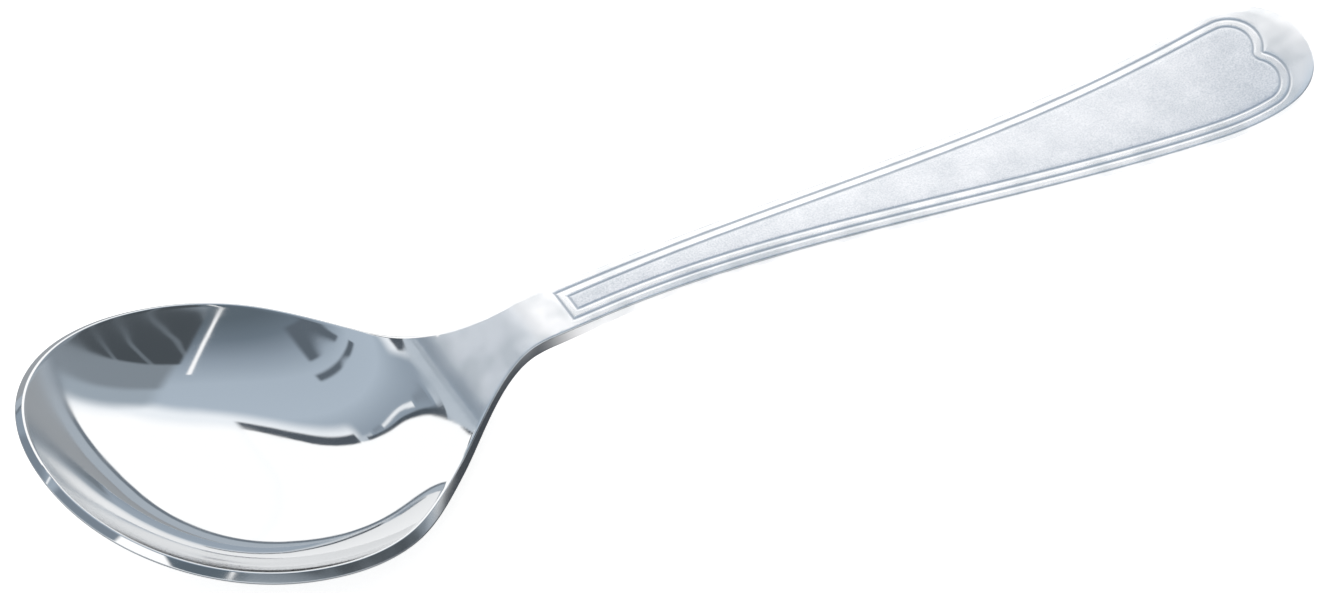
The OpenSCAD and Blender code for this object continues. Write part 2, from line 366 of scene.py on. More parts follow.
end_steps = corner_steps + lobe_steps + cusp_steps
edge = [(neck_end, f * half_width(neck_end)) for f in lanes]
for i in range(1, side_steps + 1):
    x = neck_end + (at_lobe - neck_end) * i / side_steps
    edge.append((x, half_width(x)))
for i in range(1, end_steps + 1):
    x = at_lobe + (spoon_length - at_lobe) * math.sin(math.pi / 2 * i / end_steps)
    edge.append((x, half_width(x)) if i < end_steps else (spoon_length, 0.0))

rings = [panel_line(d) for d in insets]
columns = rings[::-1] + [[mixed(p, q, t) for p, q in zip(rings[0], edge)] for t in border_shares] + [edge]
rows = [list(row) for row in zip(*columns)]
matt = groove_count // 2
blank.skin([row[:matt + 1] for row in rows], [TOP] * (matt + 1), HANDLE, satin=True)
blank.skin([row[matt:] for row in rows], [TOP] * (len(columns) - matt), HANDLE)
print("rings:", len(columns), "across half the handle; satin begins in the inner groove")

# %% Handle: field of the panel
across = len(lanes) - 1
turn = across + side_steps
meet = turn + corner_steps - cusp_steps
lobe_top = turn + corner_steps + lobe_steps // 2
field = rings[-1]
field_rows = [field[:across + 1]]
for k in range(across + 1, lobe_top + 1):
    if k <= turn:
        axis = (field[k][0], 0.0)
    elif k < meet:
        axis = (at_lobe + (field[-1][0] - at_lobe) * (k - turn) / (meet - turn), 0.0)
    else:
        axis = field[len(field) - 1 + meet - k]
    field_rows.append([mixed(axis, field[k], f) for f in lanes])
blank.skin(field_rows, [TOP] * len(lanes), HANDLE, satin=True)
print("field:", len(field_rows), "rows")

# %% Handle: underside and edge
low_rows = []
for k in range(across, len(edge)):
    axis = (min(edge[k][0], at_lobe), 0.0)
    low_rows.append([mixed(axis, edge[k], f) for f in lanes])
blank.skin(low_rows, [LOW] * len(lanes), HANDLE, flip=True)
blank.wall(edge[across:], edge[across:], HANDLE)
print("whole blank:", len(blank.points), "points,", len(blank.faces), "faces")

# %% Blank as a mesh with its attributes
mesh = bpy.data.meshes.new("flat_blank")
mesh.from_pydata([(p[0], p[1], 0.0) for p in blank.points], [], blank.faces)
for name, kind, domain, values in (
        ("across", "FLOAT", "POINT", [p[2] for p in blank.points]),
        ("sheet", "FLOAT", "POINT", [float(p[3]) for p in blank.points]),
        ("piece", "INT", "FACE", blank.pieces),
        ("satin", "BOOLEAN", "FACE", blank.satin)):
    mesh.attributes.new(name, kind, domain).data.foreach_set("value", values)
rounded = {tuple(sorted(pair)) for pair in blank.rounded}
weights = [1.0 if tuple(sorted(e.vertices)) in rounded else 0.0 for e in mesh.edges]
mesh.attributes.new("bevel_weight_edge", "FLOAT", "EDGE").data.foreach_set("value", weights)
spoon = bpy.data.objects.new("pressed_spoon", mesh)
bpy.context.collection.objects.link(spoon)
print("rounded edges:", int(sum(weights)))

# %% Lines that the coining follows
groove_mesh = bpy.data.meshes.new("groove_lines")
groove_points, groove_edges = [], []
for line in groove_lines:
    for side in (1, -1):
        start = len(groove_points)
        groove_points += [(x, side * y, 0.0) for x, y in line]
        groove_edges += [(start + i, start + i + 1) for i in range(len(line) - 1)]
groove_mesh.from_pydata(groove_points, groove_edges, [])
grooves = bpy.data.objects.new("groove_lines", groove_mesh)
bpy.context.collection.objects.link(grooves)
print("groove edges:", len(groove_edges))


# %% [markdown]
# ## The press
# On the real spoon a die gives the flat blank its shape in one blow. Here a Geometry Nodes tree is
# the die: it lifts each point to the line of the edge, sinks the hollow, lets the belly hang and
# coins the grooves. Its sizes are inputs of the tree; only three heights of the curve at the heel are
# worked out beforehand. The same could be typed as mesh code, but a tree can be opened and read, and
# its numbers can be dragged while it works.

# %% A node and its links
def add(tree, kind, settings, links):
    """Add one node, set it up, link or fill its inputs, and give back its first output."""
    node = tree.nodes.new(kind)
    for name, value in settings.items():
        setattr(node, name, value)
    for name, value in links.items():
        if isinstance(value, bpy.types.NodeSocket):
            tree.links.new(value, node.inputs[name])
        else:
            node.inputs[name].default_value = value
    return node.outputs[0] if node.outputs else None


def new_tree(name, inputs, output):
    """An empty tree with named inputs and one output, and the sockets of its inputs."""
    tree = bpy.data.node_groups.new(name, "GeometryNodeTree")
    for label, kind in inputs:
        tree.interface.new_socket(label, in_out="INPUT", socket_type=kind)
    tree.interface.new_socket(output[0], in_out="OUTPUT", socket_type=output[1])
    sockets = tree.nodes.new("NodeGroupInput").outputs
    return tree, sockets


FLOAT, GEOMETRY = "NodeSocketFloat", "NodeSocketGeometry"
MATH, VECTOR, SEPARATE = "ShaderNodeMath", "ShaderNodeVectorMath", "ShaderNodeSeparateXYZ"
SWITCH, GROUP, NAMED = "GeometryNodeSwitch", "GeometryNodeGroup", "GeometryNodeInputNamedAttribute"
# Inputs of Map Range: 0 the value, 1 and 2 where it runs from, 3 and 4 where it runs to.
# Inputs of Mix: 0 the share, 2 and 3 two numbers, or 6 and 7 two colours, which come out at output 2.
RANGE, MIX = "ShaderNodeMapRange", "ShaderNodeMix"
NUMBER, COLOUR = {"input_type": "FLOAT"}, {"data_type": "RGBA"}
SMOOTH = {"interpolation_type": "SMOOTHSTEP"}
print("helpers:", add.__name__, "and", new_tree.__name__)

# %% [markdown]
# ### Two small trees inside the press
# The die's side view is made of curves that meet without a kink: the rim, the rise to the neck, the
# arch and the dip of the handle. A group for one such curve, used three times, keeps the press short.
# A second group tells how much of the hollow's depth is left at a station, and lets it run out softly
# at the heel. Both curves are drawn from control heights, mixed step by step.

# %% Small tree: a cubic between two heights and slopes
cubic_tree, given = new_tree("Cubic between two slopes", [(n, FLOAT) for n in (
    "X", "From", "To", "Start", "Start slope", "End", "End slope")], ("Height", FLOAT))
third = add(cubic_tree, MATH, {"operation": "SUBTRACT"}, {0: given["To"], 1: given["From"]})
third = add(cubic_tree, MATH, {"operation": "DIVIDE"}, {0: third, 1: 3.0})
leaving = add(cubic_tree, MATH, {"operation": "MULTIPLY_ADD"},
              {0: given["Start slope"], 1: third, 2: given["Start"]})
arriving = add(cubic_tree, MATH, {"operation": "MULTIPLY"}, {0: given["End slope"], 1: third})
arriving = add(cubic_tree, MATH, {"operation": "SUBTRACT"}, {0: given["End"], 1: arriving})
t = add(cubic_tree, RANGE, {"clamp": False}, {0: given["X"], 1: given["From"], 2: given["To"]})
controls = [given["Start"], leaving, arriving, given["End"]]
while len(controls) > 1:
    controls = [add(cubic_tree, MIX, {"clamp_factor": False}, {0: t, 2: a, 3: b})
                for a, b in zip(controls, controls[1:])]
add(cubic_tree, "NodeGroupOutput", {}, {0: controls[0]})
print("cubic:", len(cubic_tree.nodes), "nodes")

# %% Small tree: share of the bowl, run out at the heel
share_tree, given = new_tree("Share of the bowl", [(n, FLOAT) for n in (
    "X", "Front", "Back", "Grow", "Fullness", "Turn", "Sink", "First", "Second", "Third")], ("Share", FLOAT))
ahead = add(share_tree, MATH, {"operation": "LESS_THAN"}, {0: given["X"], 1: given["Front"]})
reach = add(share_tree, SWITCH, NUMBER, {0: ahead, 1: given["Back"], 2: given["Front"]})
reach = add(share_tree, MATH, {"operation": "ADD"}, {0: reach, 1: given["Grow"]})
away = add(share_tree, MATH, {"operation": "SUBTRACT"}, {0: given["X"], 1: given["Front"]})
away = add(share_tree, MATH, {"operation": "ABSOLUTE"}, {0: away})
away = add(share_tree, MATH, {"operation": "DIVIDE"}, {0: away, 1: reach})
away = add(share_tree, MATH, {"operation": "POWER"}, {0: away, 1: given["Fullness"]})
share = add(share_tree, MATH, {"operation": "SUBTRACT"}, {0: 1.0, 1: away})
share = add(share_tree, MATH, {"operation": "MAXIMUM"}, {0: share, 1: 0.0})
t = add(share_tree, RANGE, {}, {0: given["X"], 1: given["Turn"], 2: given["Sink"]})
controls = [given["First"], given["Second"], given["Third"], 0.0, 0.0, 0.0]
while len(controls) > 1:
    controls = [add(share_tree, MIX, {}, {0: t, 2: a, 3: b}) for a, b in zip(controls, controls[1:])]
before_turn = add(share_tree, MATH, {"operation": "LESS_THAN"}, {0: given["X"], 1: given["Turn"]})
share = add(share_tree, SWITCH, NUMBER, {0: before_turn, 1: controls[0], 2: share})
add(share_tree, "NodeGroupOutput", {}, {0: share})
print("share:", len(share_tree.nodes), "nodes")

# %% [markdown]
# ### How the spoon stands
# A spoon lies on the belly of its bowl and on the dip of its handle. The height of the tip follows from
# that: it is raised until the lowest place of the belly, less the small flat that it rests on, touches
# the table. The curve at the heel starts with the slope and bend of the oval that it takes over from.

# %% Curve at the heel
def heel_controls(grow):
    """First three of the six control heights of the curve that takes the oval over at the heel."""
    run = at_sink - at_turn
    start, slope = oval_share(at_turn, grow), share_slope(at_turn, grow)
    bend = slope * (fullness - 1) / (at_turn - oval_front)
    return start, start + run * slope / 5, start + run * slope * 2 / 5 + run * run * bend / 20


print("heights at the heel", [round(h, 3) for h in heel_controls(0.0)])

# %% Height of the tip
rest_steps = 400


def rim_line(x):
    """Fall and sag of the rim behind the tip; 4 u (1 - u) is one in the middle and nothing at the ends."""
    u = x / at_heel
    return -rim_fall * x - 4 * rim_sag * u * (1 - u)


def belly(x):
    """Depth of the underside on the axis, in front of the heel."""
    return belly_depth * (1 - (1 - oval_share(x, rim_out)) ** (hollow_fullness / fullness))


tip_height = max(rim_drop + belly(x) - rim_line(x)
                 for x in (at_turn * i / rest_steps for i in range(rest_steps + 1))) - rest_flat
heel_slope = -rim_fall + 4 * rim_sag / at_heel
print("tip stands", round(tip_height / MM, 2), "mm high")

# %% Sizes that go to the press
press_sizes = {
    "Middle": -mouth_front, "Oval front": oval_front, "Oval back": oval_back, "Fullness": fullness,
    "Bowl depth": bowl_depth, "Belly depth": belly_depth, "Rim out": rim_out, "Rim drop": rim_drop,
    "Rim fall": rim_fall, "Rim sag": rim_sag, "Tip height": tip_height,
    "Heel": at_heel, "Heel height": tip_height + rim_line(at_heel), "Heel slope": heel_slope,
    "Shoulder": at_shoulder, "Neck": at_neck, "Crest": at_crest, "Arch": at_arch, "Slim": at_slim,
    "Rest": at_rest, "Cap": at_cap, "End": spoon_length, "End power": float(end_power),
    "Turn": at_turn, "Sink": at_sink, "Hollow power": hollow_fullness / fullness,
    "Neck side": neck_side, "Neck belly": neck_belly, "Handle side": handle_side,
    "Handle belly": handle_belly, "Handle crown": handle_crown, "Arch height": arch_height,
    "Rest height": rest_height, "End height": end_height, "End slope": end_slope,
    "Groove half width": groove_width / 2, "Groove depth": groove_depth}
print(len(press_sizes), "sizes go to the press")

# %% The press: edge line
inputs = [("Blank", GEOMETRY), ("Groove lines", "NodeSocketObject"),
          ("Polish", "NodeSocketMaterial"), ("Satin", "NodeSocketMaterial")]
press, size = new_tree("Press the spoon", inputs + [(n, FLOAT) for n in press_sizes], ("Spoon", GEOMETRY))
flat = add(press, "GeometryNodeInputPosition", {}, {})
x = add(press, SEPARATE, {}, {0: flat})
y = x.node.outputs[1]
before = {name: add(press, MATH, {"operation": "LESS_THAN"}, {0: x, 1: size[name]})
          for name in ("Heel", "Neck", "Crest", "Arch", "Rest")}

fall = add(press, MATH, {"operation": "MULTIPLY"}, {0: x, 1: size["Rim fall"]})
fall = add(press, MATH, {"operation": "SUBTRACT"}, {0: size["Tip height"], 1: fall})
u = add(press, MATH, {"operation": "DIVIDE"}, {0: x, 1: size["Heel"]})
sag = add(press, MATH, {"operation": "SUBTRACT"}, {0: 1.0, 1: u})
sag = add(press, MATH, {"operation": "MULTIPLY"}, {0: u, 1: sag})
sag = add(press, MATH, {"operation": "MULTIPLY"}, {0: sag, 1: size["Rim sag"]})
rim_edge = add(press, MATH, {"operation": "MULTIPLY_ADD"}, {0: sag, 1: -4.0, 2: fall})
rising = add(press, GROUP, {"node_tree": cubic_tree}, {
    "X": x, "From": size["Heel"], "To": size["Crest"], "Start": size["Heel height"],
    "Start slope": size["Heel slope"], "End": size["Arch height"], "End slope": 0.0})
falling = add(press, GROUP, {"node_tree": cubic_tree}, {
    "X": x, "From": size["Arch"], "To": size["Rest"], "Start": size["Arch height"],
    "Start slope": 0.0, "End": size["Rest height"], "End slope": 0.0})
leaving = add(press, GROUP, {"node_tree": cubic_tree}, {
    "X": x, "From": size["Rest"], "To": size["End"], "Start": size["Rest height"],
    "Start slope": 0.0, "End": size["End height"], "End slope": size["End slope"]})
edge_z = leaving
for name, line in (("Rest", falling), ("Arch", size["Arch height"]), ("Crest", rising), ("Heel", rim_edge)):
    edge_z = add(press, SWITCH, NUMBER, {0: before[name], 1: edge_z, 2: line})
print("press so far:", len(press.nodes), "nodes")

# %% The press: hollow above and belly below
slimness = add(press, RANGE, SMOOTH, {0: x, 1: size["Neck"], 2: size["Slim"]})
closing = add(press, RANGE, {}, {0: x, 1: size["Cap"], 2: size["End"]})
closing = add(press, MATH, {"operation": "POWER"}, {0: closing, 1: size["End power"]})
closing = add(press, MATH, {"operation": "SUBTRACT"}, {0: 1.0, 1: closing})

across_edge = add(press, NAMED, {"data_type": "FLOAT"}, {0: "across"})
inside = add(press, MATH, {"operation": "POWER"}, {0: across_edge, 1: size["Fullness"]})
inside = add(press, MATH, {"operation": "SUBTRACT"}, {0: 1.0, 1: inside})
sunk = []
for grow, grown, depth in ((0.0, 0.0, size["Bowl depth"]), (rim_out, size["Rim out"], size["Belly depth"])):
    first, second, third = heel_controls(grow)
    share = add(press, GROUP, {"node_tree": share_tree}, {
        "X": x, "Front": size["Oval front"], "Back": size["Oval back"], "Grow": grown,
        "Fullness": size["Fullness"], "Turn": size["Turn"], "Sink": size["Sink"],
        "First": first, "Second": second, "Third": third})
    share = add(press, MATH, {"operation": "MULTIPLY"}, {0: share, 1: inside})
    share = add(press, MATH, {"operation": "SUBTRACT"}, {0: 1.0, 1: share})
    share = add(press, MATH, {"operation": "MAXIMUM"}, {0: share, 1: 0.0})
    share = add(press, MATH, {"operation": "POWER"}, {0: share, 1: size["Hollow power"]})
    share = add(press, MATH, {"operation": "SUBTRACT"}, {0: 1.0, 1: share})
    sunk.append(add(press, MATH, {"operation": "MULTIPLY"}, {0: share, 1: depth}))
print("press so far:", len(press.nodes), "nodes")

# %% The press: crown, belly and sides of the stem
crown = add(press, MATH, {"operation": "MULTIPLY"}, {0: slimness, 1: closing})
crown = add(press, MATH, {"operation": "MULTIPLY"}, {0: crown, 1: size["Handle crown"]})
heel_belly = add(press, RANGE, SMOOTH, {
    0: x, 1: size["Turn"], 2: size["Neck"], 3: 0.0, 4: size["Neck belly"]})
slim_belly = add(press, MIX, {}, {0: slimness, 2: size["Neck belly"], 3: size["Handle belly"]})
slim_belly = add(press, MATH, {"operation": "MULTIPLY"}, {0: slim_belly, 1: closing})
stem_belly = add(press, SWITCH, NUMBER, {0: before["Neck"], 1: slim_belly, 2: heel_belly})

thick_rim = add(press, RANGE, SMOOTH, {
    0: x, 1: size["Shoulder"], 2: size["Neck"], 3: size["Rim drop"], 4: size["Neck side"]})
thick_stem = add(press, MIX, {}, {0: slimness, 2: size["Neck side"], 3: size["Handle side"]})
thick = add(press, SWITCH, NUMBER, {0: before["Neck"], 1: thick_stem, 2: thick_rim})
print("press so far:", len(press.nodes), "nodes")

# %% The press: both sheets
sheet = add(press, NAMED, {"data_type": "FLOAT"}, {0: "sheet"})
top_z = add(press, MATH, {"operation": "SUBTRACT"}, {0: edge_z, 1: sunk[0]})
top_z = add(press, MATH, {"operation": "MULTIPLY_ADD"}, {0: crown, 1: inside, 2: top_z})
low_z = add(press, MATH, {"operation": "MULTIPLY_ADD"}, {0: stem_belly, 1: inside, 2: thick})
low_z = add(press, MATH, {"operation": "ADD"}, {0: low_z, 1: sunk[1]})
low_z = add(press, MATH, {"operation": "SUBTRACT"}, {0: edge_z, 1: low_z})
low_z = add(press, MATH, {"operation": "MAXIMUM"}, {0: low_z, 1: 0.0})
print("press so far:", len(press.nodes), "nodes")

# %% The press: grooves
lines = add(press, "GeometryNodeObjectInfo", {}, {0: size["Groove lines"]}).node.outputs["Geometry"]
near = add(press, "GeometryNodeProximity", {"target_element": "EDGES"}, {0: lines})
near = near.node.outputs["Distance"]
coined = add(press, RANGE, SMOOTH, {
    0: near, 1: 0.0, 2: size["Groove half width"], 3: 1.0, 4: 0.0})
on_top = add(press, MATH, {"operation": "SUBTRACT"}, {0: 1.0, 1: sheet})
coined = add(press, MATH, {"operation": "MULTIPLY"}, {0: coined, 1: on_top})
cut = add(press, MATH, {"operation": "MULTIPLY"}, {0: coined, 1: size["Groove depth"]})
top_z = add(press, MATH, {"operation": "SUBTRACT"}, {0: top_z, 1: cut})
z = add(press, MIX, {}, {0: sheet, 2: top_z, 3: low_z})
print("press so far:", len(press.nodes), "nodes")

# %% The press: each point in its place, with its finish
placed_x = add(press, MATH, {"operation": "SUBTRACT"}, {0: x, 1: size["Middle"]})
placed = add(press, "ShaderNodeCombineXYZ", {}, {0: placed_x, 1: y, 2: z})
kept = add(press, "GeometryNodeStoreNamedAttribute", {"data_type": "FLOAT", "domain": "POINT"},
           {"Geometry": size["Blank"], "Name": "groove", "Value": coined})
pressed = add(press, "GeometryNodeSetPosition", {}, {"Geometry": kept, "Position": placed})
smooth = add(press, "GeometryNodeSetShadeSmooth", {}, {"Geometry": pressed})
whole = add(press, "GeometryNodeRealizeInstances", {}, {"Geometry": smooth})
polished = add(press, "GeometryNodeSetMaterial", {}, {"Geometry": whole, "Material": size["Polish"]})
matt_faces = add(press, NAMED, {"data_type": "BOOLEAN"}, {0: "satin"})
finished = add(press, "GeometryNodeSetMaterial", {},
               {"Geometry": polished, "Selection": matt_faces, "Material": size["Satin"]})
add(press, "NodeGroupOutput", {}, {0: finished})
print("press:", len(press.nodes), "nodes")


# %% [markdown]
# ## Colours and materials
# A finish is a small tree of shader nodes. Its colours are written as hex values, as on a paint chart,
# and one function turns them to the linear values that the shader works with.

# %% Colour from a hex value, and an empty material
def linear(hex_value):
    """The linear colour of an sRGB hex value."""
    channels = [int(hex_value[i:i + 2], 16) / 255 for i in (1, 3, 5)]
    return [c / 12.92 if c <= 0.04045 else ((c + 0.055) / 1.055) ** 2.4 for c in channels] + [1.0]


def new_material(name):
    """An empty node material and its tree."""
    material = bpy.data.materials.new(name)
    material.use_nodes = True
    material.node_tree.nodes.clear()
    return material, material.node_tree


NOISE, BUMP = "ShaderNodeTexNoise", "ShaderNodeBump"
print("mid grey in linear light:", round(linear("#808080")[0], 3))


# %% [markdown]
# ## Mirror-polished steel
# The bowl, neck and border are stainless steel, polished on felt wheels. In the bowl almost all the eye
# sees is the room, a little softened by handling. The outer wall is polished less finely, and from the
# heel on the steel turns dull and pale. Two materials could meet at the neck, but on a one-piece spoon no
# polish ends at a line, so one material changes softly along the spoon.

# %% Patterns of the polish
polish, nodes = new_material("polished_stainless_steel")
# Real wheel marks lie hundredths of a millimetre apart; these are drawn coarser, so that they show.
wheel_mark = 0.35 * MM
along_spoon = (0.06, 1.0, 1.0)
waviness = 4 * MM
smudge = 9 * MM
here = add(nodes, "ShaderNodeTexCoord", {}, {}).node.outputs["Object"]
along = add(nodes, "ShaderNodeMapping", {}, {"Vector": here, "Scale": along_spoon})
marks = add(nodes, NOISE, {}, {"Vector": along, "Scale": 1 / wheel_mark, "Detail": 3.0})
waves = add(nodes, NOISE, {}, {"Vector": here, "Scale": 1 / waviness, "Detail": 1.0})
handled = add(nodes, NOISE, {}, {"Vector": here, "Scale": 1 / smudge, "Detail": 4.0, "Roughness": 0.6})
in_groove = add(nodes, "ShaderNodeAttribute", {"attribute_name": "groove"}, {}).node.outputs["Fac"]
print("wheel marks", wheel_mark / MM, "mm, smudges", smudge / MM, "mm")

# %% Where the polish is dull
clean_mirror, handled_mirror = 0.03, 0.08
wall_dulling, dull_stem, groove_bed = 0.12, 0.24, 0.4
flat_enough, steep_enough = 0.8, 0.66
smudge_least, smudge_most = 0.4, 0.75
dull_lead, dull_run = 1 * MM, 5 * MM
dull_from, dull_fully = mouth_front + at_sink - dull_lead, mouth_front + at_sink + dull_run
facing = add(nodes, "ShaderNodeNewGeometry", {}, {}).node.outputs["Normal"]
facing = add(nodes, SEPARATE, {}, {0: facing}).node.outputs["Z"]
facing = add(nodes, MATH, {"operation": "ABSOLUTE"}, {0: facing})
steep = add(nodes, RANGE, SMOOTH, {0: facing, 1: flat_enough, 2: steep_enough, 4: wall_dulling})
softened = add(nodes, RANGE, {}, {
    0: handled, 1: smudge_least, 2: smudge_most, 3: clean_mirror, 4: handled_mirror})
softened = add(nodes, MATH, {"operation": "ADD"}, {0: softened, 1: steep})
station = add(nodes, SEPARATE, {}, {0: here})
dulled = add(nodes, RANGE, SMOOTH, {0: station, 1: dull_from, 2: dull_fully})
softened = add(nodes, MIX, {}, {0: dulled, 2: softened, 3: dull_stem})
softened = add(nodes, MIX, {}, {0: in_groove, 2: softened, 3: groove_bed})
print("dull from", round(dull_from / MM, 1), "to", round(dull_fully / MM, 1), "mm")

# %% Colour and relief of the polish
# The darker steel in the grooves is painted shade, for the shade that the recess holds.
mirror_steel, groove_shade_steel = linear("#E1E2E3"), linear("#B6BCC3")
dull_grey, dull_white = linear("#E4E6E8"), linear("#F8F8F9")
patch_least, patch_most = 0.35, 0.6
mark_relief, wave_relief = 0.02 * MM, 0.05 * MM
patches = add(nodes, RANGE, {}, {0: waves, 1: patch_least, 2: patch_most})
dull = add(nodes, MIX, COLOUR, {0: patches, 6: dull_grey, 7: dull_white}).node.outputs[2]
tint = add(nodes, MIX, COLOUR, {0: dulled, 6: mirror_steel, 7: dull}).node.outputs[2]
tint = add(nodes, MIX, COLOUR, {0: in_groove, 6: tint, 7: groove_shade_steel}).node.outputs[2]
relief = add(nodes, BUMP, {}, {"Strength": 0.012, "Distance": mark_relief, "Height": marks})
relief = add(nodes, BUMP, {}, {"Strength": 0.12, "Distance": wave_relief, "Height": waves, "Normal": relief})
steel = add(nodes, "ShaderNodeBsdfPrincipled", {}, {
    "Base Color": tint, "Metallic": 1.0, "Roughness": softened, "Normal": relief})
add(nodes, "ShaderNodeOutputMaterial", {}, {"Surface": steel})
print(polish.name, len(nodes.nodes), "nodes")


# %% [markdown]
# ## Satin steel of the panel
# The panel keeps the frosted face of the coining die. It scatters the light, so the eye sees no room in
# it, only a pale, finely mottled grey. A picture of a frosted surface could be laid on it; two noises, one
# for the grain and one for soft clouds, need no picture and hold at any distance.

# %% Satin stainless steel
satin, nodes = new_material("satin_stainless_steel")
# The real frosting is finer than a tenth of a millimetre; it is drawn coarser, so that it shows.
grain = 0.22 * MM
grain_share = 0.65
grain_least, grain_most = 0.3, 0.7
cloud = 5 * MM
speckle_least, speckle_most = 0.35, 0.65
smooth_frost, rough_frost = 0.3, 0.44
grain_relief = 0.02 * MM
# The darker grey in the grooves is painted shade, for the shade that the recess holds.
dark_grain, pale_grain, groove_shade_satin = linear("#D0D4D9"), linear("#F7F7F9"), linear("#BDC3CB")
here = add(nodes, "ShaderNodeTexCoord", {}, {}).node.outputs["Object"]
grains = add(nodes, NOISE, {}, {"Vector": here, "Scale": 1 / grain, "Detail": 2.0})
clouds = add(nodes, NOISE, {}, {"Vector": here, "Scale": 1 / cloud, "Detail": 5.0, "Roughness": 0.65})
speckle = add(nodes, MIX, {}, {0: grain_share, 2: clouds, 3: grains})
speckle = add(nodes, RANGE, {}, {0: speckle, 1: speckle_least, 2: speckle_most})
mottle = add(nodes, MIX, COLOUR, {0: speckle, 6: dark_grain, 7: pale_grain}).node.outputs[2]
in_groove = add(nodes, "ShaderNodeAttribute", {"attribute_name": "groove"}, {}).node.outputs["Fac"]
tint = add(nodes, MIX, COLOUR, {0: in_groove, 6: mottle, 7: groove_shade_satin}).node.outputs[2]
frosting = add(nodes, RANGE, {}, {
    0: grains, 1: grain_least, 2: grain_most, 3: smooth_frost, 4: rough_frost})
relief = add(nodes, BUMP, {}, {"Strength": 0.12, "Distance": grain_relief, "Height": grains})
steel = add(nodes, "ShaderNodeBsdfPrincipled", {}, {
    "Base Color": tint, "Metallic": 1.0, "Roughness": frosting, "Normal": relief})
add(nodes, "ShaderNodeOutputMaterial", {}, {"Surface": steel})
print(satin.name, len(nodes.nodes), "nodes")


# %% [markdown]
# ## Press the blank and round its edges
# The tree's inputs are set by the identifiers of their sockets. A Bevel on the marked edges gives
# the small radius that tumbling leaves on every spoon, and Weighted Normal keeps the broad faces
# from bending their shading towards it. The result becomes a plain mesh.

# %% Run the press
edge_radius = 0.24 * MM
modifier = spoon.modifiers.new("Press", "NODES")
modifier.node_group = press
settings = {**press_sizes, "Groove lines": grooves, "Polish": polish, "Satin": satin}
for item in press.interface.items_tree:
    if item.in_out == "INPUT" and item.name in settings:
        modifier[item.identifier] = settings[item.name]
bevel = spoon.modifiers.new("Rounded edges", "BEVEL")
bevel.limit_method = "WEIGHT"
bevel.width = edge_radius
bevel.segments = 4
spoon.modifiers.new("Broad faces first", "WEIGHTED_NORMAL")

evaluated = spoon.evaluated_get(bpy.context.evaluated_depsgraph_get())
pressed_mesh = bpy.data.meshes.new_from_object(evaluated)
spoon.modifiers.clear()
print("pressed:", len(pressed_mesh.vertices), "points,", len(pressed_mesh.polygons), "faces")


# %% [markdown]
# ## Three pieces with one skin
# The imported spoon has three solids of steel: bowl, neck and handle. The skin could stay whole, but a
# library part is handled solid by solid, so it is cut along the two joint planes and each piece is
# closed there. All keep the normals of the uncut skin, so a reflection runs over the joints without a
# break, as on the one-piece original.

# %% Normals, pieces and grooves of the uncut skin
vertex_normals = [None] * len(pressed_mesh.vertices)
for loop, normal in zip(pressed_mesh.loops, pressed_mesh.corner_normals):
    vertex_normals[loop.vertex_index] = normal.vector.copy()
piece_of_face = [v.value for v in pressed_mesh.attributes["piece"].data]
groove_of_point = [v.value for v in pressed_mesh.attributes["groove"].data]
print("faces of each piece:", [piece_of_face.count(n) for n in (BOWL, NECK, HANDLE)])


# %% Open rings of a skin
def boundary_loops(faces):
    """Closed rings of points along the open edges of these faces."""
    ahead = dict.fromkeys((a, b) for f in faces for a, b in zip(f, f[1:] + f[:1]))
    follow = {b: a for a, b in ahead if (b, a) not in ahead}
    rings = []
    while follow:
        first, step = follow.popitem()
        ring = [first]
        while step != first:
            ring.append(step)
            step = follow.pop(step)
        rings.append(ring)
    return rings


print("open rings in the uncut skin:", len(boundary_loops([list(p.vertices) for p in pressed_mesh.polygons])))


# %% Cut one piece and close it
def cut_piece(name, number):
    """The faces of one piece, closed at its joints, as an object with the skin's own normals."""
    faces = [list(p.vertices) for p, n in zip(pressed_mesh.polygons, piece_of_face) if n == number]
    finish = [p.material_index for p, n in zip(pressed_mesh.polygons, piece_of_face) if n == number]
    caps = boundary_loops(faces)
    used = sorted({i for f in faces for i in f})
    place = {old: new for new, old in enumerate(used)}
    mesh = bpy.data.meshes.new(name)
    mesh.from_pydata([pressed_mesh.vertices[i].co for i in used], [],
                     [[place[i] for i in f] for f in faces + caps])
    for material in pressed_mesh.materials:
        mesh.materials.append(material)
    mesh.polygons.foreach_set("material_index", finish + [0] * len(caps))
    mesh.polygons.foreach_set("use_smooth", [True] * len(mesh.polygons))
    mesh.attributes.new("groove", "FLOAT", "POINT").data.foreach_set(
        "value", [groove_of_point[i] for i in used])
    normals = [vertex_normals[i] for f in faces for i in f]
    for polygon in list(mesh.polygons)[len(faces):]:
        normals += [polygon.normal.copy()] * polygon.loop_total
    mesh.normals_split_custom_set(normals)
    piece = bpy.data.objects.new(name, mesh)
    bpy.context.collection.objects.link(piece)
    print(name, len(mesh.polygons), "faces,", len(caps), "joint faces")
    return piece


# %% Bowl, neck and handle ride on the one body
for node, number, slot in (("bowl", BOWL, "polished_steel"), ("neck", NECK, "polished_steel"),
                           ("handle", HANDLE, "satin_steel")):
    piece = cut_piece("spoon_" + node, number)
    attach(piece, "root")
    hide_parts(node)
for helper in (spoon, grooves):
    bpy.data.objects.remove(helper)


# %% [markdown]
# ## The camera
# The spoon is seen from above and in front, with the bowl near and the handle going away to the right. A
# long lens from far off keeps both ends at nearly the same scale, as in a catalogue picture. Turn, tilt
# and scale are given; the place of the camera and its lens follow from them.

